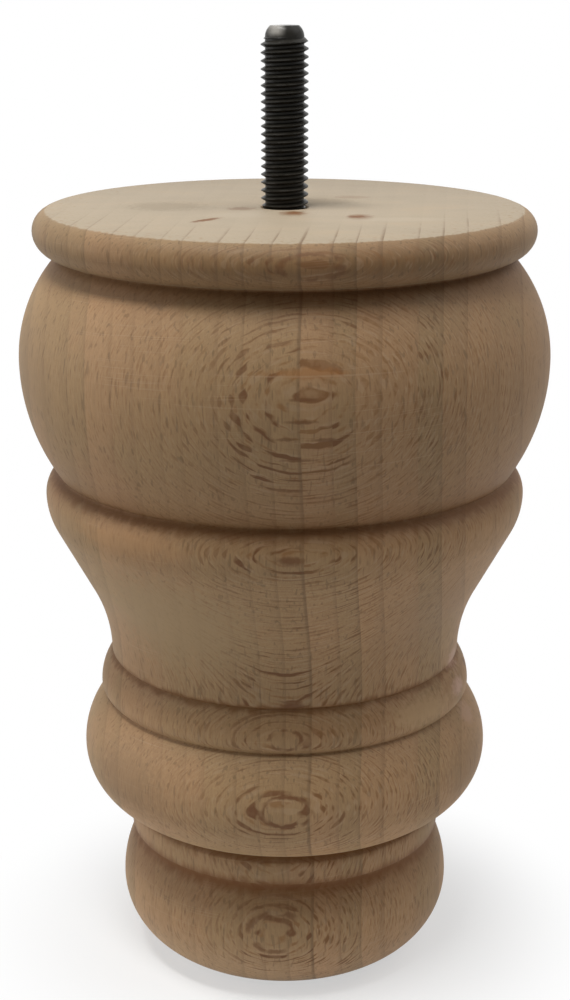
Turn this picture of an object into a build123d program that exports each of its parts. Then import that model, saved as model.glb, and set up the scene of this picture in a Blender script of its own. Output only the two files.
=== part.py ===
from build123d import *
import os

os.makedirs("parts", exist_ok=True)

# A turned wooden furniture foot with a hanger bolt screwed into its top, in millimetres.
# The origin is on the floor at the turning axis, and +Z is up.
# Each moulding is given by its own radii and rises, and stands on the one below it.

# Toe: the round moulding on the floor
floor_radius = 24.6
toe_radius = 35.9
toe_lower_rise = 14.7
toe_upper_rise = 11.1
toe_top_radius = 33.0

# Quirk: the sharp recess between the toe and the fillet above it
quirk_rise = 1.6

# Fillet: the plain narrow band, undercut where it meets the bead
fillet_radius = 33.8
fillet_rise = 7.2
undercut_depth = 1.1
undercut_slope_rise = 1.4
undercut_rise = 0.9

# Bead: the large half-round
bead_step = 1.2
bead_radius = 43.6
bead_lower_rise = 12.4
bead_upper_rise = 12.0
bead_top_radius = 39.0

# Ring: the small bead above it, which falls in to the waist
ring_radius = 39.7
ring_lower_rise = 2.0
ring_upper_rise = 7.0

# Ogee: a cove that leaves the waist upright, a straight slope and a round shoulder
waist_radius = 37.3
cove_bend_radius = 34.0
ogee_slope = 28.3
slope_length = 14.6
shoulder_bend_radius = 13.4
shoulder_upper_rise = 5.0
shoulder_top_inset = 2.4

# Bulb: the widest moulding
bulb_radius = 54.6
bulb_lower_rise = 23.3
bulb_upper_rise = 21.1
bulb_top_radius = 46.6

# Collar: the half-round rim under the flat top
collar_radius = 51.0
collar_lower_rise = 5.2
collar_upper_rise = 4.3
top_radius = 48.1

# Hanger bolt: a machine thread that runs out at the wood, a plain shank and a wood screw inside it
bolt_major_diameter = 9.525
bolt_length = 76.2
stud_height = 35.6
thread_runout_rise = 0.5
stud_tip_inset = 1.9
stud_tip_rise = 2.2
shank_diameter = 8.5
shank_length = 3.0
screw_root_diameter = 6.6
screw_shoulder_rise = 2.0
screw_point_length = 9.0
screw_point_diameter = 1.2

# Pilot hole: drilled to follow the bolt, with a countersunk mouth and a drill point at its end
hole_clearance = 0.1
hole_mouth_rise = 0.5
hole_drill_rise = 1.5


def half_round(foot, widest, head):
    """A moulding's outline from foot to head, upright where it is widest."""
    TangentArc(widest, foot, tangent=(0, -1))
    TangentArc(widest, head, tangent=(0, 1))


# The foot, turned from one blank: half of its section, revolved about the turning axis
with BuildPart() as turned_foot:
    with BuildSketch(Plane.XZ):
        with BuildLine():
            toe_widest = toe_lower_rise
            toe_top = toe_widest + toe_upper_rise
            half_round((floor_radius, 0), (toe_radius, toe_widest), (toe_top_radius, toe_top))

            fillet_foot = toe_top + quirk_rise
            fillet_top = fillet_foot + fillet_rise
            undercut_foot = fillet_top - undercut_rise
            undercut_radius = fillet_radius - undercut_depth
            bead_foot_radius = fillet_radius + bead_step
            Polyline(
                (toe_top_radius, toe_top),
                (toe_top_radius, fillet_foot),
                (fillet_radius, fillet_foot),
                (fillet_radius, undercut_foot - undercut_slope_rise),
                (undercut_radius, undercut_foot),
                (undercut_radius, fillet_top),
                (bead_foot_radius, fillet_top),
            )

            bead_widest = fillet_top + bead_lower_rise
            bead_top = bead_widest + bead_upper_rise
            half_round(
                (bead_foot_radius, fillet_top),
                (bead_radius, bead_widest),
                (bead_top_radius, bead_top),
            )

            ring_widest = bead_top + ring_lower_rise
            waist = ring_widest + ring_upper_rise
            half_round(
                (bead_top_radius, bead_top),
                (ring_radius, ring_widest),
                (waist_radius, waist),
            )

            cove = JernArc((waist_radius, waist), (0, 1), cove_bend_radius, -ogee_slope)
            slope = Line(cove @ 1, cove @ 1 + (cove % 1) * slope_length)
            shoulder = JernArc(slope @ 1, slope % 1, shoulder_bend_radius, ogee_slope)
            shoulder_widest = shoulder @ 1
            shoulder_top = shoulder_widest + Vector(-shoulder_top_inset, shoulder_upper_rise)
            TangentArc(shoulder_widest, shoulder_top, tangent=(0, 1))

            bulb_widest = shoulder_top.Y + bulb_lower_rise
            bulb_top = bulb_widest + bulb_upper_rise
            half_round(shoulder_top, (bulb_radius, bulb_widest), (bulb_top_radius, bulb_top))

            collar_widest = bulb_top + collar_lower_rise
            foot_top = collar_widest + collar_upper_rise
            half_round(
                (bulb_top_radius, bulb_top),
                (collar_radius, collar_widest),
                (top_radius, foot_top),
            )
            Polyline((top_radius, foot_top), (0, foot_top), (0, 0), (floor_radius, 0))
        make_face()
    revolve(axis=Axis.Z)

    # The blind pilot hole: a mouth, a bore for the shank, a narrower one for the screw, a drill point
    bolt_end = foot_top + stud_height - bolt_length
    stud_radius = bolt_major_diameter / 2
    shank_radius = shank_diameter / 2
    shank_end = foot_top - shank_length
    screw_radius = screw_root_diameter / 2
    screw_top = shank_end - screw_shoulder_rise
    with BuildSketch(Plane.XZ):
        with BuildLine():
            Polyline(
                (0, foot_top),
                (stud_radius + hole_clearance, foot_top),
                (shank_radius + hole_clearance, foot_top - hole_mouth_rise),
                (shank_radius + hole_clearance, shank_end),
                (screw_radius + hole_clearance, screw_top),
                (screw_radius + hole_clearance, bolt_end),
                (0, bolt_end - hole_drill_rise),
                (0, foot_top),
            )
        make_face()
    revolve(axis=Axis.Z, mode=Mode.SUBTRACT)

# The hanger bolt, plain at its thread's major diameter above the wood
with BuildPart() as hanger_bolt:
    with BuildSketch(Plane.XZ):
        with BuildLine():
            stud_top = foot_top + stud_height
            tip_radius = stud_radius - stud_tip_inset
            Polyline(
                (tip_radius, stud_top),
                (0, stud_top),
                (0, bolt_end),
                (screw_point_diameter / 2, bolt_end),
                (screw_radius, bolt_end + screw_point_length),
                (screw_radius, screw_top),
                (shank_radius, shank_end),
                (shank_radius, foot_top),
                (stud_radius, foot_top + thread_runout_rise),
                (stud_radius, stud_top - stud_tip_rise),
            )
            TangentArc(
                (stud_radius, stud_top - stud_tip_rise),
                (tip_radius, stud_top),
                tangent=(0, 1),
            )
        make_face()
    revolve(axis=Axis.Z)

turned_foot.part.label = "turned_foot"
hanger_bolt.part.label = "hanger_bolt"
export_step(turned_foot.part, "parts/turned_foot.step")
export_step(hanger_bolt.part, "parts/hanger_bolt.step")
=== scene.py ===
import math

import bpy
from bpy.props import FloatProperty, FloatVectorProperty, IntProperty, PointerProperty
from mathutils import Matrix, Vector


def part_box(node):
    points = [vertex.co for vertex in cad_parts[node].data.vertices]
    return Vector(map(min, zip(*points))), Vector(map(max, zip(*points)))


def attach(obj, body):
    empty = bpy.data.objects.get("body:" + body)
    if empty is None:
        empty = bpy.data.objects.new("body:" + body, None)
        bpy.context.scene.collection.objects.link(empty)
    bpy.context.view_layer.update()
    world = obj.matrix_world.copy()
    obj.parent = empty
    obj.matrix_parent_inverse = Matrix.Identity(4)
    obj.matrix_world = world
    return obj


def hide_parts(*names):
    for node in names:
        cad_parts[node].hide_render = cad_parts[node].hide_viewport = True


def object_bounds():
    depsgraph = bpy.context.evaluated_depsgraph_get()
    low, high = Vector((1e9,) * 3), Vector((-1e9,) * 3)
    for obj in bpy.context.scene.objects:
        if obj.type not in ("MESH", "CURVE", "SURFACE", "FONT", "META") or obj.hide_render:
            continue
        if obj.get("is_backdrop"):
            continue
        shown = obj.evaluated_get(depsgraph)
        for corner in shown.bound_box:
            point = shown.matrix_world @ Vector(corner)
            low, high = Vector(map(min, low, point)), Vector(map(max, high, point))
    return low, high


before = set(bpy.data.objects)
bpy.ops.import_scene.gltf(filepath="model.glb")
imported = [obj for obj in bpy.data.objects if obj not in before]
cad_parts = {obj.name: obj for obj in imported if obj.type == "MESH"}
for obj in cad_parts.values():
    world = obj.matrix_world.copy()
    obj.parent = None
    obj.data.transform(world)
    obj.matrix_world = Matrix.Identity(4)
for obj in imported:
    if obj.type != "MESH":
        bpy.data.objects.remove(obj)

bl_info = {
    "name": "Turned Furniture Foot",
    "version": (1, 0, 0),
    "blender": (4, 5, 0),
    "location": "View3D > Sidebar > Turned Foot",
    "description": "Turns a beech furniture foot, threads its hanger bolt and sets a plain studio",
    "category": "Add Mesh",
}

MM = 0.001

# Points of a turned mesh that are nearer than this are one
WELD = 0.002 * MM

# The floor's width, the size of a soft lamp and the camera's nearest sight, in metres
FLOOR_SIZE = 40.0
SOFT_LAMP = (0.8, 0.8)
NEAREST = 0.01


def size(label, description, millimetres):
    """A length that a user may change, given in millimetres and kept in metres."""
    return FloatProperty(
        name=label,
        description=description,
        default=millimetres * MM,
        min=0.0,
        unit="LENGTH",
        subtype="DISTANCE",
        precision=5,
    )


def colour(label, description, red, green, blue):
    """A linear colour that a user may change."""
    return FloatVectorProperty(
        name=label,
        description=description,
        default=(red, green, blue),
        min=0.0,
        max=1.0,
        size=3,
        subtype="COLOR",
    )


def amount(label, description, value):
    """A share from 0 to 1 that a user may change."""
    return FloatProperty(
        name=label, description=description, default=value, min=0.0, max=1.0, subtype="FACTOR"
    )


def angle(label, description, degrees):
    """An angle that a user may change, given in degrees."""
    return FloatProperty(
        name=label,
        description=description,
        default=math.radians(degrees),
        unit="ROTATION",
        subtype="ANGLE",
    )


def watts(label, description, value):
    """The strength of a lamp."""
    return FloatProperty(name=label, description=description, default=value, min=0.0, unit="POWER")


class FootSizes(bpy.types.PropertyGroup):
    """The turned outline, moulding by moulding from the floor up."""

    floor_radius: size("Floor radius", "Radius of the flat base", 24.6)
    toe_radius: size("Toe radius", "Widest radius of the round on the floor", 35.9)
    toe_lower_rise: size("Toe lower rise", "Floor to the toe's widest point", 14.7)
    toe_upper_rise: size("Toe upper rise", "The toe's widest point to its top", 11.1)
    toe_top_radius: size("Toe top radius", "Radius in the quirk above the toe", 33.0)
    quirk_rise: size("Quirk rise", "Height of the recess above the toe", 1.6)
    fillet_radius: size("Fillet radius", "Radius of the plain narrow band", 33.8)
    fillet_rise: size("Fillet rise", "Height of the plain narrow band", 7.2)
    undercut_depth: size("Undercut depth", "How far the band is cut back under the bead", 1.1)
    undercut_slope_rise: size("Undercut slope", "Height of the sloping part of that cut", 1.4)
    undercut_rise: size("Undercut rise", "Height of its upright part", 0.9)
    bead_step: size("Bead step", "How far the bead starts outside the fillet", 1.2)
    bead_radius: size("Bead radius", "Widest radius of the large half-round", 43.6)
    bead_lower_rise: size("Bead lower rise", "The fillet to the bead's widest point", 12.4)
    bead_upper_rise: size("Bead upper rise", "The bead's widest point to its top", 12.0)
    bead_top_radius: size("Bead top radius", "Radius where bead and ring meet", 39.0)
    ring_radius: size("Ring radius", "Widest radius of the small bead", 39.7)
    ring_lower_rise: size("Ring lower rise", "The bead to the ring's widest point", 2.0)
    ring_upper_rise: size("Ring upper rise", "The ring's widest point to the waist", 7.0)
    waist_radius: size("Waist radius", "Radius at the foot of the cove", 37.3)
    cove_bend_radius: size("Cove bend", "Radius of the hollow curve of the ogee", 34.0)
    slope_length: size("Slope length", "Length of the straight run of the ogee", 14.6)
    shoulder_bend_radius: size("Shoulder bend", "Radius of the ogee's round shoulder", 13.4)
    shoulder_upper_rise: size("Shoulder upper rise", "The widest shoulder to its top", 5.0)
    shoulder_top_inset: size("Shoulder inset", "How far the shoulder falls in at its top", 2.4)
    bulb_radius: size("Bulb radius", "Widest radius of the whole foot", 54.6)
    bulb_lower_rise: size("Bulb lower rise", "The shoulder to the bulb's widest point", 23.3)
    bulb_upper_rise: size("Bulb upper rise", "The bulb's widest point to its top", 21.1)
    bulb_top_radius: size("Bulb top radius", "Radius where bulb and collar meet", 46.6)
    collar_radius: size("Collar radius", "Widest radius of the rim", 51.0)
    collar_lower_rise: size("Collar lower rise", "The bulb to the rim's widest point", 5.2)
    top_radius: size("Top radius", "Radius of the flat top", 48.1)
    groove_depth: size("Groove depth", "Depth of the skew chisel's cut between mouldings", 0.55)
    groove_width: size("Groove width", "Width of that cut at the surface", 0.9)
    arris_radius: size("Arris radius", "Softening of every sharp edge by sanding", 0.22)
    outline_step: size("Outline step", "Length of one straight piece of the outline", 0.75)
    ogee_slope: angle("Ogee slope", "Lean of the ogee's straight run from upright", 28.3)
    segments: IntProperty(
        name="Segments", description="Steps round the turning axis", default=256, min=24, max=300
    )


class BoltSizes(bpy.types.PropertyGroup):
    """The hanger bolt: a machine thread, a plain shank and a plain screw end, and its hole."""

    major_diameter: size("Major diameter", "Over the crests of the machine thread", 9.525)
    pitch: size("Pitch", "Rise of the machine thread in one turn", 1.5875)
    stud_height: size("Stud height", "How far the bolt stands out of the wood", 35.6)
    bolt_length: size("Bolt length", "Whole length of the bolt", 76.2)
    runout_rise: size("Run-out rise", "Where the machine thread fades at the wood", 0.5)
    tip_inset: size("Tip inset", "How far the rounded tip falls in", 1.9)
    tip_rise: size("Tip rise", "Height of the rounded tip", 2.2)
    shank_diameter: size("Shank diameter", "The plain stretch inside the wood", 8.5)
    shank_length: size("Shank length", "Length of that plain stretch", 3.0)
    screw_root_diameter: size("Screw root", "Root diameter of the screw end", 6.6)
    screw_shoulder_rise: size("Screw shoulder", "Height of the cone under the shank", 2.0)
    screw_point_length: size("Point length", "Length of the screw end's point", 9.0)
    screw_point_diameter: size("Point diameter", "Diameter at the very end", 1.2)
    hole_clearance: size("Hole clearance", "Space round the bolt in its pilot hole", 0.1)
    hole_mouth_rise: size("Hole mouth", "Depth of the pilot hole's countersunk mouth", 0.5)
    hole_drill_rise: size("Drill point", "Depth of the pilot hole's pointed end", 1.5)
    steps: IntProperty(
        name="Steps", description="Steps in one turn of the thread", default=72, min=16, max=128
    )


class BeechLook(bpy.types.PropertyGroup):
    """Colours and grain of unfinished beech."""

    side_grain: colour("Side grain", "Long grain on the turned side", 0.366, 0.227, 0.114)
    side_grain_pink: colour("Pink grain", "Rosier stretches of the side", 0.376, 0.226, 0.117)
    side_grain_olive: colour("Olive grain", "Cooler stretches of the side", 0.352, 0.230, 0.116)
    end_grain: colour("End grain", "The sawn top and base", 0.440, 0.358, 0.257)
    end_grain_warm: colour("Warm end grain", "Warmer clouds of the top", 0.440, 0.335, 0.220)
    ring_line: colour("Ring line", "The dark line that ends a year's growth", 0.150, 0.085, 0.042)
    ray_dark: colour("Ray fleck", "The dark flecks of the rays", 0.150, 0.064, 0.025)
    ray_face: colour("Ray face", "Rays that lie flat in the surface", 0.250, 0.125, 0.048)
    ray_light: colour("Silver fleck", "The paler flecks of the rays", 0.470, 0.335, 0.215)
    # Burnished wood in the cuts, together with painted shade in and under them
    groove_burnish_and_shade: colour("Groove", "Burnished wood in the cut grooves", 0.150, 0.052, 0.008)
    # Painted shade on the collar: redder in front, greyer at the sides
    collar_front_shade: colour("Collar front", "Darkened wood of the front", 0.150, 0.062, 0.012)
    collar_side_shade: colour("Collar side", "Darkened wood of the sides", 0.255, 0.200, 0.125)
    # Painted light from the floor's bounce, low on the toe
    toe_bounce_light: colour("Pale toe", "Wood low on the toe", 0.450, 0.310, 0.205)
    rust_mark: colour("Rust mark", "Orange brown marks round the stud", 0.165, 0.066, 0.019)
    # Grey patches on the top beside the stud
    grey_top_patch: colour("Grey smudge", "Grey smudges on the top", 0.272, 0.213, 0.140)
    pale_smudge: colour("Pale smudge", "Pale smudges on the top", 0.500, 0.420, 0.310)
    ring_spacing: size("Ring spacing", "Width of one year's growth", 5.1)
    ring_offset: size("Ring offset", "Where the strong dark line passes the axis", 9.8)
    ray_reach: size("Ray reach", "Length of a ray towards the bark", 11.0)
    ray_height: size("Ray height", "Height of a ray along the grain", 2.2)
    ray_gap: size("Ray gap", "Distance from one ray to the next", 0.52)
    straight_height: size("Straight height", "Height at which the rays run straight across", 62.0)
    grain_lean: amount("Grain lean", "Turn of the rings across the top", 0.095)
    grain_tilt: amount("Grain tilt", "Lean of the rings from upright", 0.015)
    ray_tilt: amount("Ray tilt", "Backward lean of the rays from upright", 0.11)
    ray_twist: amount("Ray twist", "Turn of the rays for each millimetre of height", 0.00085)
    ray_strength: amount("Ray strength", "How strongly the broad rays show", 0.80)
    fine_ray_strength: amount("Fine ray strength", "How strongly the fine rays show", 0.50)
    pale_ray_strength: amount("Pale ray strength", "How strongly the pale rays show", 0.22)
    ring_strength: amount("Ring strength", "How strongly the growth rings show", 0.28)
    collar_ring_strength: amount("Collar rings", "How much more they show on the collar", 0.24)
    # How far the painted shade darkens the collar
    collar_shade_strength: amount("Collar strength", "How far the collar has darkened", 0.45)
    fibre_contrast: amount("Fibre contrast", "Light and dark of the fibres", 0.34)
    pore_contrast: amount("Pore contrast", "Light and dark of the pores", 0.24)
    blotch_contrast: amount("Blotch contrast", "Light and dark of the blotches", 0.16)
    year_contrast: amount("Year contrast", "Light and dark from one year to another", 0.14)
    sanding_contrast: amount("Sanding contrast", "Light and dark of the sanding marks", 0.07)
    dash_strength: amount("Dash strength", "How dark the long pores are", 0.24)
    scratch_strength: amount("Scratch strength", "How pale the fine scratches are", 0.30)


class SteelLook(bpy.types.PropertyGroup):
    """Colours, wear and the painted tip highlight of the blackened bolt."""

    black_oxide: colour("Black oxide", "The blackened steel", 0.0165, 0.0148, 0.0112)
    # A painted highlight on the rounded tip
    tip_highlight: colour("Worn tip", "Bare steel on the rounded tip", 0.500, 0.475, 0.430)
    worn_crest: colour("Worn crest", "Steel rubbed along the crests", 0.062, 0.060, 0.055)
    # How strongly the painted tip highlight shows
    tip_highlight_strength: amount("Tip wear", "How far the tip is rubbed", 0.80)
    crest_wear: amount("Crest wear", "How far the crests are rubbed", 0.80)


class StudioSizes(bpy.types.PropertyGroup):
    """Where the camera stands, how strong the lamps are and how pale the floor is."""

    camera_distance: size("Camera distance", "From the turning axis to the camera", 368.2)
    camera_height: size("Camera height", "From the floor to the camera", 211.6)
    camera_pitch: angle("Camera pitch", "How far the camera looks down", 16.84)
    focal_share: FloatProperty(
        name="Focal length",
        description="Focal length as a share of the picture's height",
        default=1.8101,
        min=0.1,
    )
    picture_shift: FloatProperty(
        name="Picture shift",
        description="Sideways shift as a share of the picture's height",
        default=0.00035,
    )
    ceiling_power: watts("Ceiling lamp", "Above, a little in front and to the left", 12.0)
    left_power: watts("Left window", "Level with the foot, on the left", 3.95)
    front_power: watts("Left front fill", "In front and to the left", 0.9)
    upper_power: watts("Upper right fill", "High on the right", 3.6)
    right_power: watts("Right fill", "Level with the foot, on the right", 1.0)
    paper_near: colour("Paper", "The floor close to the foot", 0.88, 0.88, 0.87)
    paper_far: colour("Paper further off", "The floor a hand's width away", 0.86, 0.86, 0.85)
    dark_rim: colour("Dark rim", "The far floor, which throws no light back", 0.03, 0.03, 0.03)


class Lathe:
    """A turned piece. Its outline is drawn in the XZ plane with one vertex, then spun."""

    def __init__(self, name, x, z, step):
        """Starts the outline at one point."""
        deselect()
        bpy.ops.mesh.primitive_plane_add(size=MM)
        self.piece = bpy.context.object
        self.piece.name = self.piece.data.name = name
        bpy.ops.object.mode_set(mode="EDIT")
        bpy.ops.mesh.select_all(action="SELECT")
        bpy.ops.mesh.merge(type="CENTER")
        bpy.ops.mesh.select_mode(type="VERT")
        bpy.ops.transform.translate(value=(x, 0, z))
        self.x, self.z, self.step = x, z, step

    def line(self, x, z):
        """Draws a straight line to a point."""
        move = (x - self.x, 0, z - self.z)
        bpy.ops.mesh.extrude_vertices_move(TRANSFORM_OT_translate={"value": move})
        self.x, self.z = x, z

    def arc(self, centre_x, centre_z, turn):
        """Draws an arc about a centre, positive from +X towards +Z."""
        radius = math.hypot(self.x - centre_x, self.z - centre_z)
        steps = max(3, math.ceil(radius * abs(turn) / self.step))
        centre = (centre_x, 0, centre_z)
        bpy.ops.mesh.spin(steps=steps, angle=turn, center=centre, axis=(0, 1, 0))
        reached = math.atan2(self.z - centre_z, self.x - centre_x) + turn
        self.x = centre_x + radius * math.cos(reached)
        self.z = centre_z + radius * math.sin(reached)

    def round_out(self, x, z):
        """Draws an arc that ends upright at a widest point."""
        out, rise = x - self.x, z - self.z
        radius = (out * out + rise * rise) / (2 * out)
        self.arc(x - radius, z, math.atan2(rise, radius - out))

    def round_in(self, x, z):
        """Draws an arc that starts upright at the widest point."""
        fall, rise = self.x - x, z - self.z
        radius = (fall * fall + rise * rise) / (2 * fall)
        self.arc(self.x - radius, self.z, math.atan2(rise, radius - fall))

    def groove(self, depth, width):
        """Cuts in with the point of the chisel and comes out a little higher."""
        x, z = self.x, self.z
        self.line(x - depth, z + width / 2)
        self.line(x, z + width)

    def spin(self, segments):
        """Revolves the outline about the Z axis and closes its poles."""
        bpy.ops.mesh.select_all(action="SELECT")
        bpy.ops.mesh.spin(
            steps=segments, angle=math.tau, center=(0, 0, 0), axis=(0, 0, 1), use_auto_merge=True
        )
        bpy.ops.mesh.select_all(action="SELECT")
        bpy.ops.mesh.remove_doubles(threshold=WELD)
        bpy.ops.mesh.normals_make_consistent(inside=False)
        bpy.ops.object.mode_set(mode="OBJECT")
        return self.piece


class Wire:
    """A shader socket that adds its own Math nodes when it is used in an expression."""

    def __init__(self, shader, socket):
        self.shader = shader
        self.socket = socket

    def maths(self, operation, *values):
        """One Math node with this socket among its inputs."""
        inputs = dict(enumerate(values))
        return self.shader.node("ShaderNodeMath", {"operation": operation}, inputs)

    def __add__(self, other):
        return self.maths("ADD", self, other)

    __radd__ = __add__

    def __sub__(self, other):
        return self.maths("SUBTRACT", self, other)

    def __rsub__(self, other):
        return self.maths("SUBTRACT", other, self)

    def __mul__(self, other):
        return self.maths("MULTIPLY", self, other)

    __rmul__ = __mul__

    def __truediv__(self, other):
        return self.maths("DIVIDE", self, other)

    def __pow__(self, other):
        return self.maths("POWER", self, other)

    def floor(self):
        return self.maths("FLOOR", self)

    def absolute(self):
        return self.maths("ABSOLUTE", self)

    def root(self):
        return self.maths("SQRT", self)

    def larger(self, other):
        return self.maths("MAXIMUM", self, other)


class Shader:
    """A node tree whose nodes come from one method."""

    def __init__(self, name, owners="materials"):
        self.material = getattr(bpy.data, owners).new(name)
        self.material.use_nodes = True
        self.tree = self.material.node_tree
        self.tree.nodes.clear()

    def node(self, kind, settings=None, inputs=None, output=0):
        """Adds a node: its settings first, then the values or links of its sockets."""
        made = self.tree.nodes.new(kind)
        for key, value in (settings or {}).items():
            setattr(made, key, value)
        for key, value in (inputs or {}).items():
            if isinstance(value, Wire):
                self.tree.links.new(value.socket, made.inputs[key])
            else:
                made.inputs[key].default_value = value
        return Wire(self, made.outputs[output])

    def ramp(self, value, low, high):
        """A smooth climb from 0 at low to 1 at high, or a fall where high is below low."""
        climbs = high > low
        ends = {0: value, 1: min(low, high), 2: max(low, high), 3: 1 - climbs, 4: float(climbs)}
        return self.node("ShaderNodeMapRange", {"interpolation_type": "SMOOTHSTEP"}, ends)

    def blend(self, mask, under, over):
        """Lays one colour over another where the mask is 1."""
        inputs = {0: mask, 6: rgba(under), 7: rgba(over)}
        return self.node("ShaderNodeMix", {"data_type": "RGBA"}, inputs, output=2)

    def shade(self, under, factor):
        """Darkens or lightens a colour by a factor."""
        grey = self.node("ShaderNodeCombineColor", {}, {0: factor, 1: factor, 2: factor})
        settings = {"data_type": "RGBA", "blend_type": "MULTIPLY"}
        return self.node("ShaderNodeMix", settings, {0: 1.0, 6: rgba(under), 7: grey}, output=2)

    def point(self, x, y, z):
        """A vector from three numbers."""
        return self.node("ShaderNodeCombineXYZ", {}, {0: x, 1: y, 2: z})

    def noise(self, place, scale=1.0, detail=1.0, roughness=0.5):
        """Smooth noise about 0.5."""
        inputs = {"Vector": place, "Scale": scale, "Detail": detail, "Roughness": roughness}
        return self.node("ShaderNodeTexNoise", {}, inputs)

    def chance(self, value):
        """A random number from 0 to 1 for each whole number."""
        return self.node("ShaderNodeTexWhiteNoise", {"noise_dimensions": "1D"}, {"W": value})

    def millimetres(self):
        """The place on the piece along X, Y and Z, in millimetres."""
        place = self.node("ShaderNodeTexCoord", output="Object")
        split = self.node("ShaderNodeSeparateXYZ", {}, {0: place}).socket.node
        return [Wire(self, out) / MM for out in split.outputs]

    def seen_as(self, lit, plain, share):
        """Lights the scene with one shader, and shows the eye and all gloss a share of another."""
        path = self.node("ShaderNodeLightPath").socket.node
        seen = Wire(self, path.outputs["Is Camera Ray"])
        for kind in ("Is Glossy Ray", "Is Transmission Ray"):
            seen = seen.larger(Wire(self, path.outputs[kind]))
        return self.node("ShaderNodeMixShader", {}, {0: seen * share, 1: lit, 2: plain})

    def finish(self, shader_wire, kind="ShaderNodeOutputMaterial"):
        """Joins the last shader to the output."""
        output = self.tree.nodes.new(kind)
        self.tree.links.new(shader_wire.socket, output.inputs["Surface"])
        return self.material


def rgba(value):
    """A colour property with its alpha, or a wire as it is."""
    return value if isinstance(value, Wire) else (*value, 1.0)


def deselect():
    """Leaves edit mode with nothing selected."""
    if bpy.context.mode != "OBJECT":
        bpy.ops.object.mode_set(mode="OBJECT")
    bpy.ops.object.select_all(action="DESELECT")


def choose(piece):
    """Makes one piece the only selected and active one."""
    deselect()
    piece.select_set(True)
    bpy.context.view_layer.objects.active = piece


def apply_modifier(piece, name, kind, **settings):
    """Adds a modifier to a piece and applies it."""
    choose(piece)
    modifier = piece.modifiers.new(name, kind)
    for key, value in settings.items():
        setattr(modifier, key, value)
    bpy.ops.object.modifier_apply(modifier=name)


def cut_with(piece, tool, operation):
    """Cuts or joins a piece with a second one, and throws that one away."""
    apply_modifier(piece, operation, "BOOLEAN", operation=operation, object=tool, solver="EXACT")
    mesh = tool.data
    bpy.data.objects.remove(tool)
    bpy.data.meshes.remove(mesh)


def smooth(piece, degrees):
    """Shades a piece smooth, apart from its sharp edges."""
    choose(piece)
    bpy.ops.object.shade_smooth_by_angle(angle=math.radians(degrees))


def dress(piece, material, node):
    """Gives a finished piece its material and its place in the frame."""
    piece.data.materials.clear()
    piece.data.materials.append(material)
    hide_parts(node)
    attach(piece, "root")


def turn_foot(foot, bolt, top):
    """The turned wood, from the middle of the base, round the outside and down the pilot hole."""
    lathe = Lathe("wood_foot", 0, 0, foot.outline_step)
    lathe.line(foot.floor_radius, 0)
    lathe.round_out(foot.toe_radius, foot.toe_lower_rise)
    lathe.round_in(foot.toe_top_radius, lathe.z + foot.toe_upper_rise)

    lathe.line(lathe.x, lathe.z + foot.quirk_rise)
    lathe.line(foot.fillet_radius, lathe.z)
    fillet_top = lathe.z + foot.fillet_rise
    undercut_foot = fillet_top - foot.undercut_rise
    lathe.line(lathe.x, undercut_foot - foot.undercut_slope_rise)
    lathe.line(lathe.x - foot.undercut_depth, undercut_foot)
    lathe.line(lathe.x, fillet_top)

    lathe.line(foot.fillet_radius + foot.bead_step, lathe.z)
    lathe.round_out(foot.bead_radius, lathe.z + foot.bead_lower_rise)
    bead_top = lathe.z + foot.bead_upper_rise
    lathe.round_in(foot.bead_top_radius, bead_top - foot.groove_width / 2)
    lathe.groove(foot.groove_depth, foot.groove_width)

    ring_widest = bead_top + foot.ring_lower_rise
    waist = ring_widest + foot.ring_upper_rise
    lathe.round_out(foot.ring_radius, ring_widest)
    lathe.round_in(foot.waist_radius, waist - foot.groove_width / 2)
    lathe.groove(foot.groove_depth, foot.groove_width)

    slope = foot.ogee_slope
    lathe.arc(lathe.x + foot.cove_bend_radius, waist, -slope)
    run = foot.slope_length
    lathe.line(lathe.x + run * math.sin(slope), lathe.z + run * math.cos(slope))
    bend = foot.shoulder_bend_radius
    lathe.arc(lathe.x - bend * math.cos(slope), lathe.z + bend * math.sin(slope), slope)
    shoulder_top = lathe.z + foot.shoulder_upper_rise
    lathe.round_in(lathe.x - foot.shoulder_top_inset, shoulder_top - foot.groove_width / 2)
    lathe.groove(foot.groove_depth, foot.groove_width)

    bulb_widest = shoulder_top + foot.bulb_lower_rise
    bulb_top = bulb_widest + foot.bulb_upper_rise
    lathe.round_out(foot.bulb_radius, bulb_widest)
    lathe.round_in(foot.bulb_top_radius, bulb_top - foot.groove_width / 2)
    lathe.groove(foot.groove_depth, foot.groove_width)
    lathe.round_out(foot.collar_radius, bulb_top + foot.collar_lower_rise)
    lathe.round_in(foot.top_radius, top)

    hole = bolt.shank_diameter / 2 + bolt.hole_clearance
    screw_hole = bolt.screw_root_diameter / 2 + bolt.hole_clearance
    shank_end = top - bolt.shank_length
    bolt_end = top + bolt.stud_height - bolt.bolt_length
    lathe.line(bolt.major_diameter / 2 + bolt.hole_clearance, top)
    lathe.line(hole, top - bolt.hole_mouth_rise)
    lathe.line(hole, shank_end)
    lathe.line(screw_hole, shank_end - bolt.screw_shoulder_rise)
    lathe.line(screw_hole, bolt_end)
    lathe.line(0, bolt_end - bolt.hole_drill_rise)
    piece = lathe.spin(foot.segments)
    apply_modifier(
        piece,
        "Sanded arrises",
        "BEVEL",
        width=foot.arris_radius,
        segments=2,
        limit_method="ANGLE",
        angle_limit=math.radians(30),
    )
    smooth(piece, 35)
    return piece


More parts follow.
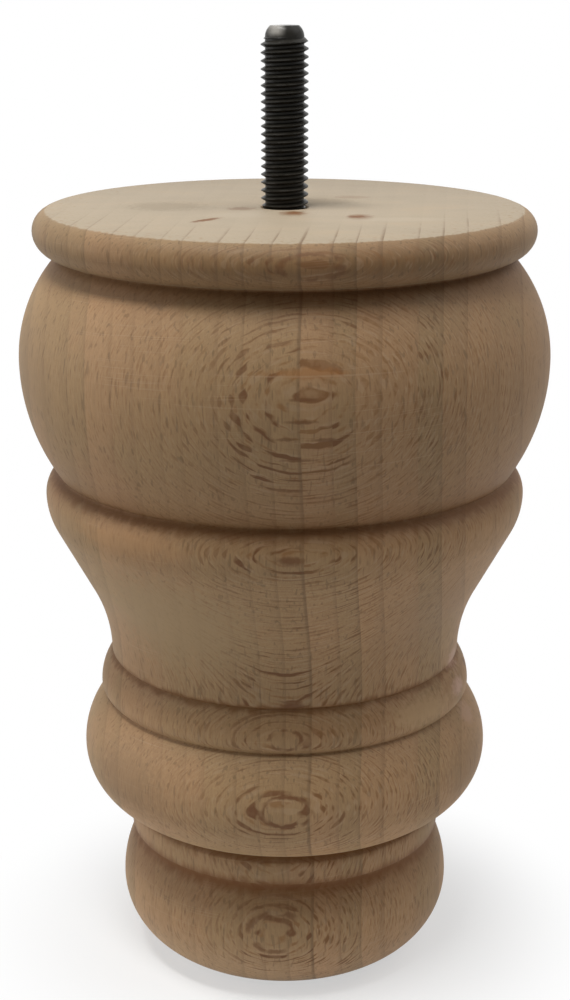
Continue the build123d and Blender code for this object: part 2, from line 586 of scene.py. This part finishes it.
def threaded_bar(name, bolt, root_radius, low, high):
    """A bar with a right-handed 60 degree thread, cut square at both ends."""
    crest_radius, pitch = bolt.major_diameter / 2, bolt.pitch
    crest_flat, root_flat = pitch / 8, pitch / 4
    flank = (pitch - crest_flat - root_flat) / 2
    thread = Lathe(name, root_radius, low - pitch, pitch)
    thread.line(root_radius, thread.z + root_flat)
    thread.line(crest_radius, thread.z + flank)
    thread.line(crest_radius, thread.z + crest_flat)
    thread.line(root_radius, thread.z + flank)
    bpy.ops.object.mode_set(mode="OBJECT")
    apply_modifier(
        thread.piece,
        "Thread",
        "SCREW",
        screw_offset=pitch,
        iterations=math.ceil((high - low) / pitch) + 2,
        steps=bolt.steps,
        render_steps=bolt.steps,
    )
    bpy.ops.object.mode_set(mode="EDIT")
    bpy.ops.mesh.select_all(action="SELECT")
    bpy.ops.mesh.remove_doubles(threshold=pitch / 1000)
    for height, up in ((low, -1), (high, 1)):
        bpy.ops.mesh.select_all(action="SELECT")
        bpy.ops.mesh.bisect(
            plane_co=(0, 0, height), plane_no=(0, 0, up), use_fill=True, clear_outer=True
        )
    bpy.ops.mesh.select_all(action="SELECT")
    bpy.ops.mesh.normals_make_consistent(inside=False)
    bpy.ops.object.mode_set(mode="OBJECT")
    return thread.piece


def cut_bolt(bolt, top):
    """The hanger bolt: a threaded bar cut to the stud's shape, joined to the end in the wood."""
    stud_radius = bolt.major_diameter / 2
    shank_radius = bolt.shank_diameter / 2
    stud_top = top + bolt.stud_height
    bolt_end = stud_top - bolt.bolt_length
    shank_end = top - bolt.shank_length
    screw_top = shank_end - bolt.screw_shoulder_rise
    thread_depth = bolt.pitch * 5 / 16 * math.sqrt(3)

    root_radius = stud_radius - thread_depth
    low, high = top - 2 * bolt.pitch, stud_top + bolt.pitch
    stud = threaded_bar("steel_hanger_bolt", bolt, root_radius, low, high)
    blank = Lathe("stud blank", 0, top - bolt.pitch, bolt.tip_rise / 8)
    blank.line(shank_radius, blank.z)
    blank.line(shank_radius, top)
    blank.line(stud_radius, top + bolt.runout_rise)
    blank.line(stud_radius, stud_top - bolt.tip_rise - thread_depth)
    blank.line(root_radius, stud_top - bolt.tip_rise)
    blank.round_in(stud_radius - bolt.tip_inset, stud_top)
    blank.line(0, stud_top)
    cut_with(stud, blank.spin(bolt.steps), "INTERSECT")

    shank = Lathe("shank", 0, bolt_end, MM)
    shank.line(bolt.screw_point_diameter / 2, bolt_end)
    shank.line(bolt.screw_root_diameter / 2, bolt_end + bolt.screw_point_length)
    shank.line(bolt.screw_root_diameter / 2, screw_top)
    shank.line(shank_radius, shank_end)
    shank.line(shank_radius, top)
    shank.line(0, top)
    cut_with(stud, shank.spin(bolt.steps), "UNION")
    smooth(stud, 30)
    return stud


# Cuts that are burnished and hold painted shade, with wider bands of painted shade under the
# overhangs: height and reach in millimetres, and strength
BURNISH_AND_SHADE_BANDS = [
    (152.6, 1.8, 0.42),
    (151.5, 5.0, 0.28),
    (108.0, 1.9, 0.60),
    (108.5, 6.5, 0.28),
    (113.0, 11.0, 0.22),
    (68.0, 1.5, 0.70),
    (64.5, 4.0, 0.20),
    (59.0, 1.2, 0.22),
    (33.4, 2.7, 0.78),
    (26.4, 3.0, 0.88),
    (24.0, 5.5, 0.30),
]

DARK_FLECK = (0.150, 0.065, 0.026)
DARK_RAY = (0.150, 0.064, 0.025)
PALE_SCRATCH = (0.470, 0.335, 0.215)

# Marks, painted light and painted shade on the side: place, reach round the foot and height in
# millimetres, colour, strength
SIDE_MARKS_LIGHT_AND_SHADE = [
    # Pale pink spots and a soft dark spot on the right of the ring, and painted light over the
    # ring's right
    ((36.0, -12.0, 69.0), (5.0, 3.0), (0.520, 0.330, 0.240), 0.75),
    ((35.6, -14.0, 63.5), (4.6, 2.6), (0.540, 0.350, 0.260), 0.75),
    ((38.5, -12.0, 56.5), (5.0, 3.0), (0.500, 0.320, 0.220), 0.60),
    # Painted light that lifts the right of the ring
    ((28.0, -27.0, 63.5), (13.0, 4.2), (0.460, 0.300, 0.160), 0.80),
    ((38.2, -3.7, 64.8), (2.2, 1.6), (0.120, 0.070, 0.040), 0.70),
    # Dark spots under the collar and on the toe, and the orange streak on the bulb
    ((-22.8, -42.0, 149.8), (2.8, 1.0), (0.150, 0.095, 0.055), 0.55),
    ((-20.5, -19.7, 4.9), (4.0, 0.9), (0.200, 0.140, 0.090), 0.50),
    ((3.8, -54.3, 139.8), (10.0, 1.3), (0.330, 0.140, 0.040), 0.55),
    # Dark flecks in front
    ((1.0, -49.9, 103.3), (3.6, 1.3), DARK_FLECK, 0.80),
    ((1.7, -37.0, 68.7), (3.8, 1.3), DARK_FLECK, 0.85),
    ((9.8, -50.0, 158.2), (1.6, 1.0), DARK_FLECK, 0.75),
    # Broad patches of paler and orange wood, then painted shade on the left and right of the bead,
    # the far left of the bulb and the right of the ogee
    ((-22.0, -34.0, 86.0), (26.0, 17.0), (0.345, 0.240, 0.128), 0.70),
    ((-30.0, -38.0, 103.5), (18.0, 4.5), (0.410, 0.228, 0.102), 0.45),
    # Painted shade on the bead's left, the bulb's far left, the bead's right and the ogee's right
    ((-33.0, -28.0, 49.0), (15.0, 10.0), (0.240, 0.150, 0.080), 0.52),
    ((-50.0, -20.0, 132.0), (16.0, 16.0), (0.260, 0.170, 0.100), 0.28),
    ((39.0, -19.0, 48.0), (14.0, 9.0), (0.230, 0.140, 0.070), 0.50),
    ((28.0, -30.0, 86.0), (18.0, 14.0), (0.250, 0.160, 0.090), 0.28),
    # The knot-like middles of the bulb and the ring, and the short rays round the first
    ((5.0, -54.4, 136.3), (2.8, 1.4), (0.330, 0.200, 0.100), 0.70),
    ((4.4, -39.0, 62.2), (2.0, 1.8), (0.320, 0.195, 0.098), 0.60),
    ((3.6, -54.5, 135.2), (3.6, 0.5), DARK_RAY, 0.70),
    ((3.1, -54.3, 131.1), (4.2, 0.5), DARK_RAY, 0.70),
    ((0.2, -54.0, 127.9), (2.8, 0.5), DARK_RAY, 0.65),
    ((7.4, -53.6, 127.7), (4.0, 0.5), DARK_RAY, 0.70),
    ((2.5, -53.2, 123.8), (5.0, 0.4), DARK_RAY, 0.60),
    # Pale scratches round the bulb
    ((6.0, -54.0, 139.3), (24.0, 0.25), PALE_SCRATCH, 0.26),
    ((-12.0, -53.0, 133.5), (16.0, 0.22), PALE_SCRATCH, 0.18),
]

# Rays that close into a ring where the surface lies along them: place, reach, height, strength
RAY_RINGS = [
    ((5.0, -50.7, 158.3), (6.0, 2.3), 0.70),
    ((0.1, -39.3, 62.4), (3.2, 2.1), 0.85),
    ((0.5, -43.5, 48.6), (5.2, 3.1), 0.90),
    ((-1.6, -35.8, 17.2), (5.9, 4.2), 0.70),
]

# Marks on the top: middle x and y, reach and width in millimetres, turn in degrees, then strength
TOP_MARKS = {
    "rust_mark": [
        ((-15.1, -18.9, 5.4, 1.5, 52.0), 0.95),
        ((1.6, -9.6, 3.6, 4.8, 0.0), 0.60),
        ((2.0, -9.0, 2.2, 2.6, 0.0), 0.90),
        ((14.6, -14.8, 3.4, 5.0, 0.0), 0.60),
        ((14.2, -14.4, 2.2, 2.8, 0.0), 0.95),
        ((-8.8, -3.0, 3.8, 3.0, 0.0), 0.55),
        ((14.0, 15.0, 5.0, 3.0, 0.0), 0.25),
    ],
    # Grey patches left and right of the stud
    "grey_top_patch": [
        ((-24.0, 0.5, 11.0, 9.0, 0.0), 0.50),
        ((8.0, 8.0, 9.0, 7.0, 0.0), 0.50),
        ((-6.5, -2.0, 5.0, 5.0, 0.0), 0.20),
    ],
    "pale_smudge": [
        ((22.0, -18.0, 14.0, 4.0, 0.0), 0.35),
        ((-9.0, -12.0, 9.0, 5.0, 0.0), 0.25),
    ],
}


class Beech(Shader):
    """Unfinished beech: growth rings across X, and rays that lie in planes of equal Y."""

    def __init__(self, look):
        """Reads the place and the facing of the surface, and grows the wood through it."""
        super().__init__("turned beech")
        self.look = look
        self.x, self.y, self.z = self.millimetres()
        self.place = self.point(self.x, self.y, self.z)
        facing = self.node("ShaderNodeTexCoord", output="Normal")
        normal = self.node("ShaderNodeSeparateXYZ", {}, {0: facing}).socket.node.outputs
        self.front, self.upright = [Wire(self, normal[axis]).absolute() for axis in (1, 2)]
        self.drift = self.noise(self.place, 0.016, 1.0) - 0.5
        self.edge = self.noise(self.place, 0.9, 2.0) - 0.5
        self.blotch = self.streaks(0.16, 0.07, 2.0, 0.6)
        self.patchy = self.ramp(self.blotch, 0.35, 0.65)
        self.fibre = self.streaks(2.2, 0.16, 2.0, 0.6)
        self.pore = self.streaks(4.5, 0.7)
        self.grow_rings()
        self.grow_rays()

    def streaks(self, across, along, detail=1.0, roughness=0.5):
        """Noise that is as fine as is asked across the grain and along it."""
        place = self.point(self.x * across, self.y * across, self.z * along)
        return self.noise(place, 1.0, detail, roughness)

    def grow_rings(self):
        """Growth rings that stand nearly upright and run from front to back."""
        look, x, y, z = self.look, self.x, self.y, self.z
        wander, unevenness = 1.6, 0.9
        across = x - y * look.grain_lean + z * look.grain_tilt
        across = across + self.drift * wander - look.ring_offset / MM
        years = across / (look.ring_spacing / MM)
        uneven = self.noise(self.point(years, 0.0, 0.0), 0.6, 0.0) - 0.5
        years = years + uneven * unevenness
        year = years.floor()
        self.season = years - year
        self.luck = self.chance(year)
        other_luck = self.chance(year + 0.37)

        # Each year ends in a dark line, weaker on the left, and one line is strong throughout
        line = self.ramp(self.season, 0.80, 0.98) * self.ramp(self.season, 1.0, 0.992)
        line = line * (0.10 + other_luck * 0.45 + self.patchy * 0.45)
        self.ring_line = line * (0.65 + self.ramp(x, -30.0, 0.0) * 0.35)
        self.strong_line = self.ramp((across + 0.25).absolute(), 0.55, 0.05)

    def ribbons(self, tangent, radial, upward, gap, thickness):
        """Thin ribbons in layers: above 0 in millimetres where one meets the surface."""
        layers = tangent / gap
        layer = layers.floor()
        luck = self.chance(layer)
        off = (layers - layer - 0.3 - luck * 0.4).absolute() * gap
        extent = self.noise(self.point(radial + luck * 91.0, upward + luck * 57.0, 0.0), 1.0, 0.0)
        return (extent - 0.44) * thickness - off

    def grow_rays(self):
        """Upright ribbons, long across the rings, that the surface cuts into contour lines."""
        look, x, y, z = self.look, self.x, self.y, self.z
        wander, shake, step = 3.0, 0.26, 0.10
        twist = (z - look.straight_height / MM) * look.ray_twist
        tangent = y - x * twist - z * look.ray_tilt + self.drift * wander + self.luck * step
        tangent = tangent + (self.noise(self.place, 0.35, 1.0) - 0.5) * shake
        radial = x / (look.ray_reach / MM) + self.luck * 0.6
        upward = z / (look.ray_height / MM)
        gap = look.ray_gap / MM
        broad = self.ribbons(tangent, radial, upward, gap, 0.54)
        fine = self.ribbons(tangent + 0.2, radial * 1.5, upward * 1.5, gap * 0.5, 0.26)
        pale = self.ribbons(tangent + 0.4, radial * 1.2, upward * 1.3, gap * 0.9, 0.50)

        # They show most in front, where the surface lies along them, and to the right
        shown = self.ramp(self.front, 0.05, 0.90) * (0.48 + self.ramp(x, -30.0, 8.0) * 0.52)
        broken = self.ramp(self.noise(self.place, 0.75, 1.0), 0.40, 0.56)
        core = self.ramp(x.absolute(), 14.0, 7.0) * self.ramp(self.front, 0.90, 0.98)
        strong = 0.35 + self.patchy * 0.35 + broken * 0.30 + core * 0.65
        self.broad_ray = self.ramp(broad, -0.03, 0.06) * shown * strong
        self.fine_ray = self.ramp(fine, -0.03, 0.04) * shown * (broken + core * 0.8)
        self.pale_ray = self.ramp(pale, -0.03, 0.06) * shown

    def long_grain(self):
        """The turned side: its tone, then its pores, rays, rings and scratches."""
        look, x, y, z = self.look, self.x, self.y, self.z
        mottle = self.noise(self.place, 0.05, 2.0)
        rosy = self.ramp(mottle + (self.luck - 0.5) * 0.40 + x * 0.002, 0.36, 0.62)
        side = self.blend(rosy, look.side_grain_olive, look.side_grain_pink)
        side = self.blend(0.35, side, look.side_grain)
        side = self.blend(self.ramp(self.front, 0.55, 1.0) * 0.12, side, look.ray_face)

        # Painted shade darkens the collar, the most of any part, and in front it is redder
        collar = self.ramp(z, 151.5, 154.0) * self.ramp(self.upright, 0.995, 0.96)
        collar_shade_tone = self.blend(self.front, look.collar_side_shade, look.collar_front_shade)
        side = self.blend(collar * look.collar_shade_strength, side, collar_shade_tone)

        # Painted shade darkens the bulb and the collar on their right, and painted light from the
        # floor makes the toe paler low down
        bulb_right_shade = self.ramp(x, 0.0, 25.0) * self.ramp(z, 106.0, 111.0) * (1.0 - collar)
        collar_right_shade = self.ramp(x, 0.0, 20.0) * self.ramp(x, 50.0, 38.0) * collar
        darker = bulb_right_shade * 0.12 + collar_right_shade * 0.15
        toe = self.ramp(z, 17.0, 8.0)
        side = self.shade(side, 1.0 + toe * 0.12 - darker)
        side = self.blend(toe * 0.25, side, look.toe_bounce_light)

        # Fibres and pores run along the grain, and sanding marks run round the foot
        fibres = (self.fibre - 0.5) * look.fibre_contrast
        pores = (self.pore - 0.5) * look.pore_contrast
        grain = fibres + pores + (self.blotch - 0.5) * look.blotch_contrast
        sanding = (self.streaks(0.10, 5.0, 2.0, 0.6) - 0.5) * look.sanding_contrast
        side = self.shade(side, 0.93 + self.luck * look.year_contrast + grain + sanding)
        late = self.ramp(self.season, 0.2, 1.0) * 0.06
        dash = self.ramp(self.streaks(1.6, 0.28, 0.0), 0.64, 0.76) * look.dash_strength
        side = self.shade(side, 1.03 - late - dash)

        # Rays, then the lines between the years
        ray_tone = self.blend(self.luck, look.ray_dark, look.ray_face)
        side = self.blend(self.pale_ray * look.pale_ray_strength, side, look.ray_light)
        side = self.blend(self.fine_ray * look.fine_ray_strength, side, look.ray_face)
        side = self.blend(self.broad_ray * look.ray_strength, side, ray_tone)
        strength = look.ring_strength + collar * look.collar_ring_strength
        side = self.blend(self.ring_line * strength, side, look.ring_line)
        side = self.blend(self.strong_line * (0.14 + self.patchy * 0.28), side, look.ring_line)

        # Fine scratches round the foot, a little aslant
        scratch = self.noise(self.point(x * 0.05, y * 0.05, z * 6.0 - x * 0.35), 1.0, 0.0)
        scratch = self.ramp(scratch, 0.70, 0.80) * self.ramp(mottle, 0.45, 0.60)
        return self.blend(scratch * look.scratch_strength, side, look.ray_light)

    def end_grain(self):
        """The sawn top and base, cloudy, with the ring lines near the front of the rim."""
        look, x, y = self.look, self.x, self.y
        pore = self.noise(self.place, 2.2, 2.0, 0.6) - 0.5
        cloud = self.noise(self.point(x * 0.05, y * 0.11, 0.0), 1.0, 3.0, 0.6) - 0.5
        end = self.shade(look.end_grain, 0.96 + pore * 0.18 + cloud * 0.22)
        end = self.blend(self.ramp(cloud, 0.0, 0.2) * 0.35, end, look.end_grain_warm)
        end = self.shade(end, 1.01 - self.ramp(self.season, 0.2, 1.0) * 0.02)
        # Painted shade darkens the top towards the back
        end = self.shade(end, 1.0 - self.ramp(y, -10.0, 45.0) * 0.15)
        rim = self.ramp((x * x + y * y).root(), 26.0, 44.0) * self.ramp(y, 0.0, -28.0)
        line = self.ring_line * self.ramp(self.season, 0.86, 0.99)
        end = self.blend(line * rim * 0.75, end, look.ring_line)
        return self.blend(self.strong_line * rim * 0.45, end, look.ring_line)

    def burnish_and_shade(self, wood):
        """Darkens the bottom of each cut with burnishing and painted shade, and the wood under
        each overhang with painted shade, raggedly along the grain.
        """
        ragged = (self.streaks(0.6, 0.05) - 0.5) * 2.0
        for height, reach, strength in BURNISH_AND_SHADE_BANDS:
            away = (self.z - height + self.edge * 0.5 + ragged).absolute()
            wood = self.blend(self.ramp(away, reach, 0.0) * strength, wood, self.look.groove_burnish_and_shade)
        return wood

    def mark_side_light_and_shade(self, wood):
        """Lays each mark, painted light and painted shade of the side on the wood, then the rays
        that close into rings.
        """
        x, y, z = self.x, self.y, self.z
        for (mark_x, mark_y, mark_z), (reach, height), tone, strength in SIDE_MARKS_LIGHT_AND_SHADE:
            away = ((x - mark_x) ** 2.0 + (y - mark_y) ** 2.0).root() / reach
            away = (away * away + ((z - mark_z) / height) ** 2.0).root()
            wood = self.blend(self.ramp(away + self.edge, 1.0, 0.3) * strength, wood, tone)

        patchy = self.ramp(self.noise(self.place, 0.30, 1.0), 0.40, 0.56)
        for (ring_x, ring_y, ring_z), (reach, height), strength in RAY_RINGS:
            away = (((x - ring_x) / reach) ** 2.0 + ((z - ring_z) / height) ** 2.0).root()
            ring = self.ramp((away - 1.0 + self.edge * 0.25).absolute(), 0.20, 0.06) * patchy
            in_front = self.ramp(y - ring_y, 6.0, 4.0)
            wood = self.blend(ring * in_front * strength, wood, self.look.ray_dark)
        return wood

    def mark_top(self, wood, top):
        """Lays the soft oval marks round the stud on the top face, which is at this height."""
        above = self.ramp(self.z, top - 0.6, top - 0.2)
        for tone, marks in TOP_MARKS.items():
            for (middle_x, middle_y, reach, width, turn), strength in marks:
                cosine, sine = math.cos(math.radians(turn)), math.sin(math.radians(turn))
                aside, back = self.x - middle_x, self.y - middle_y
                along = (aside * cosine + back * sine) / reach
                across = (back * cosine - aside * sine) / width
                away = (along * along + across * across).root()
                spot = self.ramp(away + self.edge, 1.0, 0.35) * above
                wood = self.blend(spot * strength, wood, getattr(self.look, tone))
        return wood

    def cover(self, top):
        """Lays grain, burnishing with painted shade, and marks with painted light and shade over
        each other, and joins them to the surface.
        """
        sawn = self.ramp(self.upright + self.edge * 0.10, 0.94, 0.985)
        wood = self.burnish_and_shade(self.blend(sawn, self.long_grain(), self.end_grain()))
        wood = self.mark_top(self.mark_side_light_and_shade(wood), top)
        relief = (self.fibre - 0.5) * 0.5 - self.broad_ray * 0.3 - self.ring_line * 0.3
        relief = relief + (self.pore - 0.5) * 0.4
        inputs = {"Strength": 0.25, "Distance": 0.12 * MM, "Height": relief}
        surface = {
            "Base Color": wood,
            "Roughness": 0.62 + (self.fibre - 0.5) * 0.16,
            "Specular IOR Level": 0.28,
            "Normal": self.node("ShaderNodeBump", {}, inputs),
        }
        return self.finish(self.node("ShaderNodeBsdfPrincipled", {}, surface))


def blackened_steel(look, bolt, stud_top):
    """Black oxide, a little paler where the crests have rubbed, with a painted highlight on the
    tip.
    """
    shader = Shader("black oxide steel")
    x, y, z = shader.millimetres()
    radius = (x * x + y * y).root()
    crest = bolt.major_diameter / 2 / MM
    patch = shader.noise(shader.point(x, y, z), 0.55, 3.0, 0.6)
    grain = shader.noise(shader.point(x, y, z), 4.0, 2.0, 0.6)
    rubbed = shader.ramp(radius, crest - 0.05, crest) * shader.ramp(patch, 0.38, 0.62)
    steel = shader.blend(rubbed * look.crest_wear, look.black_oxide, look.worn_crest)

    # A painted highlight lies on the tip, left of its middle
    tip = shader.ramp(z, stud_top / MM - 2.4, stud_top / MM - 1.0)
    tip = tip * shader.ramp((x + 1.7).absolute(), 2.2, 0.2) * (0.6 + patch * 0.6)
    steel = shader.blend(tip * look.tip_highlight_strength, steel, look.tip_highlight)
    surface = {
        "Base Color": steel,
        "Roughness": 0.34 + (grain - 0.5) * 0.20 + (patch - 0.5) * 0.15 - tip * 0.10,
        "Specular IOR Level": 0.13,
    }
    return shader.finish(shader.node("ShaderNodeBsdfPrincipled", {}, surface))


def floor_finish(studio):
    """Pale matt paper near the foot, which the eye sees fade to plain white further off."""
    shader = Shader("pale floor")
    x, y = shader.millimetres()[:2]
    distance = (x * x + y * y).root()
    paper = shader.blend(shader.ramp(distance, 60.0, 140.0), studio.paper_near, studio.paper_far)
    paper = shader.blend(shader.ramp(distance, 330.0, 420.0), paper, studio.dark_rim)
    matt = shader.node("ShaderNodeBsdfDiffuse", {}, {"Color": paper})
    white = shader.node("ShaderNodeEmission", {}, {"Color": (1.0, 1.0, 1.0, 1.0), "Strength": 1.0})
    fade = 0.55 + shader.ramp(distance, 30.0, 75.0) * 0.45
    return shader.finish(shader.seen_as(matt, white, fade))


def lamp(name, place, target, spread, power):
    """A soft rectangular lamp that looks at a point."""
    bpy.ops.object.light_add(type="AREA", location=place)
    light = bpy.context.object
    light.name = name
    light.data.shape = "RECTANGLE"
    light.data.size, light.data.size_y = spread
    light.data.energy = power
    light.rotation_euler = (Vector(target) - Vector(place)).to_track_quat("-Z", "Y").to_euler()


def light_studio(studio, middle):
    """Lamps that look at the middle of the foot, and a world that only shows as white."""
    ceiling_strip = (0.75, 0.20)
    lamp("ceiling lamp", (-0.23, -0.25, 1.26), middle, ceiling_strip, studio.ceiling_power)
    lamp("left window", (-1.10, 0.0, 0.45), middle, SOFT_LAMP, studio.left_power)
    lamp("left front fill", (-0.80, -0.80, 0.50), middle, SOFT_LAMP, studio.front_power)
    lamp("upper right fill", (0.70, 0.0, 1.00), middle, SOFT_LAMP, studio.upper_power)
    lamp("right fill", (1.10, 0.0, 0.45), middle, SOFT_LAMP, studio.right_power)
    sky = Shader("studio", "worlds")
    white = (1.0, 1.0, 1.0, 1.0)
    dark, bright = [
        sky.node("ShaderNodeBackground", {}, {"Color": white, "Strength": strength})
        for strength in (0.0, 1.0)
    ]
    world = sky.finish(sky.seen_as(dark, bright, 1.0), "ShaderNodeOutputWorld")
    bpy.context.scene.world = world


def place_camera(studio):
    """The camera stands where the photograph was taken."""
    place = (0, -studio.camera_distance, studio.camera_height)
    turn = (math.pi / 2 - studio.camera_pitch, 0, 0)
    bpy.ops.object.camera_add(location=place, rotation=turn)
    camera = bpy.context.object
    camera.data.lens = studio.focal_share * camera.data.sensor_width
    camera.data.shift_x = studio.picture_shift
    camera.data.clip_start = NEAREST
    bpy.context.scene.camera = camera


class FOOT_OT_turn(bpy.types.Operator):
    """Turn the beech foot on the lathe"""

    bl_idname = "foot.turn"
    bl_label = "Turn Beech Foot"

    def execute(self, context):
        scene = context.scene
        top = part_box("turned_foot")[1][2]
        piece = turn_foot(scene.foot_sizes, scene.bolt_sizes, top)
        finish = Beech(scene.beech_look).cover(top / MM)
        dress(piece, finish, "turned_foot")
        return {"FINISHED"}


class FOOT_OT_bolt(bpy.types.Operator):
    """Thread the hanger bolt"""

    bl_idname = "foot.bolt"
    bl_label = "Thread Hanger Bolt"

    def execute(self, context):
        scene = context.scene
        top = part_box("turned_foot")[1][2]
        piece = cut_bolt(scene.bolt_sizes, top)
        stud_top = top + scene.bolt_sizes.stud_height
        finish = blackened_steel(scene.steel_look, scene.bolt_sizes, stud_top)
        dress(piece, finish, "hanger_bolt")
        return {"FINISHED"}


class FOOT_OT_stage(bpy.types.Operator):
    """Lay the floor, hang the lamps and place the camera"""

    bl_idname = "foot.stage"
    bl_label = "Set Studio"

    def execute(self, context):
        studio = context.scene.studio_sizes
        low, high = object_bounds()
        middle = [(a + b) / 2 for a, b in zip(low, high)]
        deselect()
        bpy.ops.mesh.primitive_plane_add(size=FLOOR_SIZE)
        floor = bpy.context.object
        floor.name = "floor"
        floor.data.materials.append(floor_finish(studio))
        floor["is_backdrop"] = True
        light_studio(studio, middle)
        place_camera(studio)
        context.scene.view_settings.view_transform = "Standard"
        return {"FINISHED"}


class FOOT_PT_panel(bpy.types.Panel):
    """Steps that make the foot"""

    bl_label = "Turned Foot"
    bl_idname = "FOOT_PT_panel"
    bl_space_type = "VIEW_3D"
    bl_region_type = "UI"
    bl_category = "Turned Foot"

    def draw(self, context):
        for step in OPERATORS:
            self.layout.operator(step.bl_idname)
        for group in GROUPS:
            box = self.layout.box()
            for key in GROUPS[group].__annotations__:
                box.prop(getattr(context.scene, group), key)


GROUPS = {
    "foot_sizes": FootSizes,
    "bolt_sizes": BoltSizes,
    "beech_look": BeechLook,
    "steel_look": SteelLook,
    "studio_sizes": StudioSizes,
}
OPERATORS = [FOOT_OT_turn, FOOT_OT_bolt, FOOT_OT_stage]


def register():
    """Registers the classes and hangs each group of values on the scene."""
    for name, group in GROUPS.items():
        bpy.utils.register_class(group)
        setattr(bpy.types.Scene, name, PointerProperty(type=group))
    for kind in (*OPERATORS, FOOT_PT_panel):
        bpy.utils.register_class(kind)


def unregister():
    """Takes away what register added."""
    for kind in (FOOT_PT_panel, *reversed(OPERATORS)):
        bpy.utils.unregister_class(kind)
    for name, group in GROUPS.items():
        delattr(bpy.types.Scene, name)
        bpy.utils.unregister_class(group)


def main():
    """Makes every piece and the studio."""
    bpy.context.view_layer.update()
    register()
    bpy.ops.foot.turn()
    bpy.ops.foot.bolt()
    bpy.ops.foot.stage()


if __name__ == "__main__":
    main()
